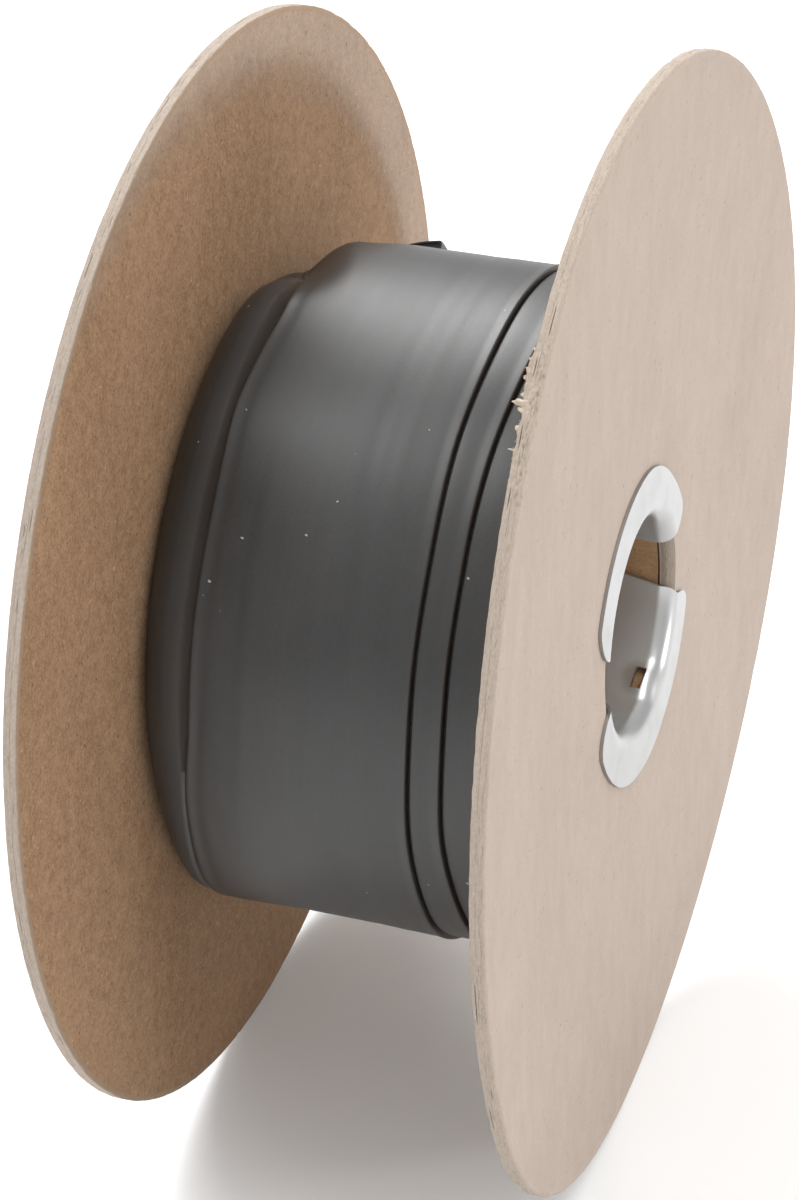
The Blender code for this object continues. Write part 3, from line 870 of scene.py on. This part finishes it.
def ferrule_half(end, half, face, side, bend, finish):
    """Half a pressed ferrule: barrel, rolled edge and lip, with a lanced hole in the lower one."""
    first, last = UPPER if half == "upper" else LOWER
    slant = LOWER_SLANT if half == "lower" else (0.0, 0.0)
    ends = UPPER_ENDS if half == "upper" else LOWER_ENDS
    lip = BOARD_T + SHEET_T / 2.0 + LIP_GAP
    barrel_x = np.linspace(BOARD_T - BARREL_DEPTH, lip - ROLL_R - 0.0004, 15)
    section = [(x, BARREL_R, 0.0) for x in barrel_x]
    for a in np.radians(np.linspace(0.0, 90.0, 13)):
        section.append((lip - ROLL_R + ROLL_R * math.sin(a), BARREL_R + ROLL_R * (1.0 - math.cos(a)), a))
    lip_from = BARREL_R + ROLL_R
    section += [(lip, r, math.pi / 2.0) for r in np.linspace(lip_from, LIP_R, 11)[1:]]
    x, r, turn = (np.array(column) for column in zip(*section))
    share = np.linspace(0.0, 1.0, 260)[:, None] + 0.0 * x
    share = 0.65 * share + 0.35 * (0.5 - 0.5 * np.cos(np.pi * share))
    depth = np.clip(lip - ROLL_R - x, 0.0, None) / BARREL_DEPTH
    # the lip's ends are cut back or round, so its outer rings cover a smaller angle
    reach = np.clip((r - lip_from) / (LIP_R - lip_from), 0.0, 1.0)
    start = first + slant[0] * depth + cut_back(*ends[0], reach)
    stop = last + slant[1] * depth - cut_back(*ends[1], reach)
    if half == "lower":
        start = start + LOWER_STEP * smooth(r, BARREL_R, lip_from)
    angle = start + (stop - start) * share
    tilt = bend(angle, np.minimum(r, LIP_R)) * smooth(x, BOARD_T - BARREL_DEPTH, lip - ROLL_R)
    radius = r + 0.0 * share
    if half == "lower":
        along = (x - BOARD_T + HOLE_DEPTH) / HOLE_RIM_LONG
        apart = np.hypot(along, turn_apart(angle, HOLE_AT) / HOLE_RIM_WIDE)
        radius = radius - HOLE_RIM * hump(apart, 0.0, 1.0)
    else:
        wide = UPPER_WIDE - UPPER_NARROWS * smooth(angle, NARROWS_FROM, NARROWS_TO)
        radius = radius + np.clip(r - lip_from, 0.0, None) * (wide - 1.0)
    out_x = 0.5 * SHEET_T * np.sin(turn)
    out_r = 0.5 * SHEET_T * np.cos(turn)
    board_side = around(face + side * (x - out_x) + tilt, angle, radius + out_r)
    free_side = around(face + side * (x + out_x) + tilt, angle, radius - out_r)
    points = np.concatenate([board_side, free_side[:, ::-1]], 1)
    barrel = 1.0 - smooth(x, lip - ROLL_R - 0.0008, lip - 0.0004)
    piece = skin("ferrule_half_" + end + "_" + half, points, [finish], ring=False,
                 marks={"barrel": np.concatenate([barrel, barrel[::-1]])})
    if half == "lower":
        lance(piece, face + side * (BOARD_T - HOLE_DEPTH))
    stands_for(piece, "ferrule_" + end + "_" + half, "zinc_" + end + "_" + half)


def lance(piece, x):
    """Cuts the lanced hole through the barrel's sheet."""
    bm = bmesh.new()
    bmesh.ops.create_cube(bm, size=1.0)
    mesh = bpy.data.meshes.new("lanced_hole")
    bm.to_mesh(mesh)
    bm.free()
    cutter = bpy.data.objects.new("lanced_hole", mesh)
    bpy.context.scene.collection.objects.link(cutter)
    cutter.scale = HOLE_SIZE
    cutter.location = around(x, HOLE_AT, BARREL_R)
    cutter.rotation_euler = (math.radians(-HOLE_AT), math.radians(8.0), 0.0)
    cut = piece.modifiers.new("hole", "BOOLEAN")
    cut.operation = "DIFFERENCE"
    cut.solver = "EXACT"
    cut.object = cutter
    bpy.context.view_layer.update()
    evaluated = piece.evaluated_get(bpy.context.evaluated_depsgraph_get())
    holed = bpy.data.meshes.new_from_object(evaluated)
    piece.modifiers.clear()
    piece.data = holed
    bpy.data.objects.remove(cutter, do_unlink=True)


# Camera, floor and light

FRAME_HIGH = 1200.0        # the picture's height in pixels
CAMERA_AZ = 19.1344        # degrees from the front towards +X, and upwards
CAMERA_EL = 29.7857
CAMERA_AWAY = 5.025 * FLANGE_R
FOCAL_PX = 2776.2
AIM = Vector((-0.00823, 0.0, AXIS_Z - 0.00276))
FLOOR_HALF = 4.0
FLOOR_GLOW = 0.08          # the floor shines a little, so that it stays pale
FLOOR_DARK = 0.86
FLOOR_PALE = 0.88
WORLD_LIGHT = 0.84
LAMPS = (                  # name, direction from the reel, distance, size, watts
    ("side lamp", (1.0, 0.19, 0.11), 2.0, 0.16, 13.0),
    ("top lamp", (-0.48, -0.20, 0.85), 1.2, 0.5, 5.0),
    ("back lamp", (-0.42, 0.60, 0.72), 1.3, 0.6, 11.0),
    ("fill lamp", (0.35, -0.05, 0.93), 1.3, 0.6, 5.5),
)


def stand_camera():
    """The photograph's view, fitted to the two rims."""
    az = math.radians(CAMERA_AZ)
    el = math.radians(CAMERA_EL)
    back = Vector((math.sin(az) * math.cos(el), -math.cos(az) * math.cos(el), math.sin(el)))
    camera = bpy.data.objects.new("camera", bpy.data.cameras.new("camera"))
    bpy.context.scene.collection.objects.link(camera)
    camera.location = AIM + back * CAMERA_AWAY
    camera.rotation_euler = (-back).to_track_quat("-Z", "Y").to_euler()
    camera.data.lens = FOCAL_PX * camera.data.sensor_width / FRAME_HIGH
    camera.data.clip_start = 0.01
    bpy.context.scene.camera = camera


def lay_floor():
    """A large pale floor with a faint mottle."""
    mesh = bpy.data.meshes.new("floor")
    corners = [(x * FLOOR_HALF, y * FLOOR_HALF, 0.0) for x, y in ((-1, -1), (1, -1), (1, 1), (-1, 1))]
    mesh.from_pydata(corners, [], [(0, 1, 2, 3)])
    finish = Finish("floor", roughness=0.9)
    blot = finish.blots(even(3.0))
    finish.join(FLOOR_GLOW, finish.shader.inputs["Emission Strength"])
    finish.join(even(1.0), finish.shader.inputs["Emission Color"])
    color = finish.mixed(blot, even(FLOOR_DARK), even(FLOOR_PALE))
    mesh.materials.append(finish.paint(base_color=color))
    floor = bpy.data.objects.new("floor", mesh)
    bpy.context.scene.collection.objects.link(floor)


def softbox(name, direction, away, size, watts):
    """A square lamp this far from the reel's middle, which it faces."""
    middle = Vector((0.0, 0.0, AXIS_Z))
    lamp = bpy.data.objects.new(name, bpy.data.lights.new(name, "AREA"))
    bpy.context.scene.collection.objects.link(lamp)
    lamp.data.size = size
    lamp.data.energy = watts
    lamp.location = middle + Vector(direction).normalized() * away
    lamp.rotation_euler = (middle - lamp.location).to_track_quat("-Z", "Y").to_euler()


def light_up():
    """A white world and the four lamps."""
    world = bpy.data.worlds.new("studio")
    world.use_nodes = True
    background = world.node_tree.nodes["Background"]
    background.inputs["Color"].default_value = (1.0, 1.0, 1.0, 1.0)
    background.inputs["Strength"].default_value = WORLD_LIGHT
    bpy.context.scene.world = world
    bpy.context.scene.view_settings.view_transform = "Standard"
    for name, direction, away, size, watts in LAMPS:
        softbox(name, direction, away, size, watts)


stand_camera()
lay_floor()
light_up()
inside = pressed_board("board inside", INNER_PALE, INNER_DARK, 1.0)
outside = pressed_board("board outside", OUTER_PALE, OUTER_DARK, 0.35)
board = [inside, cut_board("board edge"), outside]
even_places = np.linspace(0.0, 360.0, RIM_STEPS, endpoint=False)
close_places = np.arange(TORN_FROM, TORN_TO, TORN_STEP)
beside_tear = even_places[(even_places < TORN_FROM) | (even_places > TORN_TO)]
near_places = np.sort(np.concatenate([beside_tear, close_places]))
flange("near_board", "flange_near", "board_near", NEAR_FACE, 1.0, near_bend, near_places, 3, 1.0, board)
flange("far_board", "flange_far", "board_far", FAR_FACE, -1.0, far_bend, even_places, 21, 0.0, board)
torn_edge(torn_fibre())
core(wound_paper())
tube = satin_tube()
coil(tube)
loose_end(tube)
for end, face, side, bend in (("near", NEAR_FACE, 1.0, near_bend), ("far", FAR_FACE, -1.0, far_bend)):
    for half in ("upper", "lower"):
        ferrule_half(end, half, face, side, bend, zinc_plate("zinc " + end + " " + half))
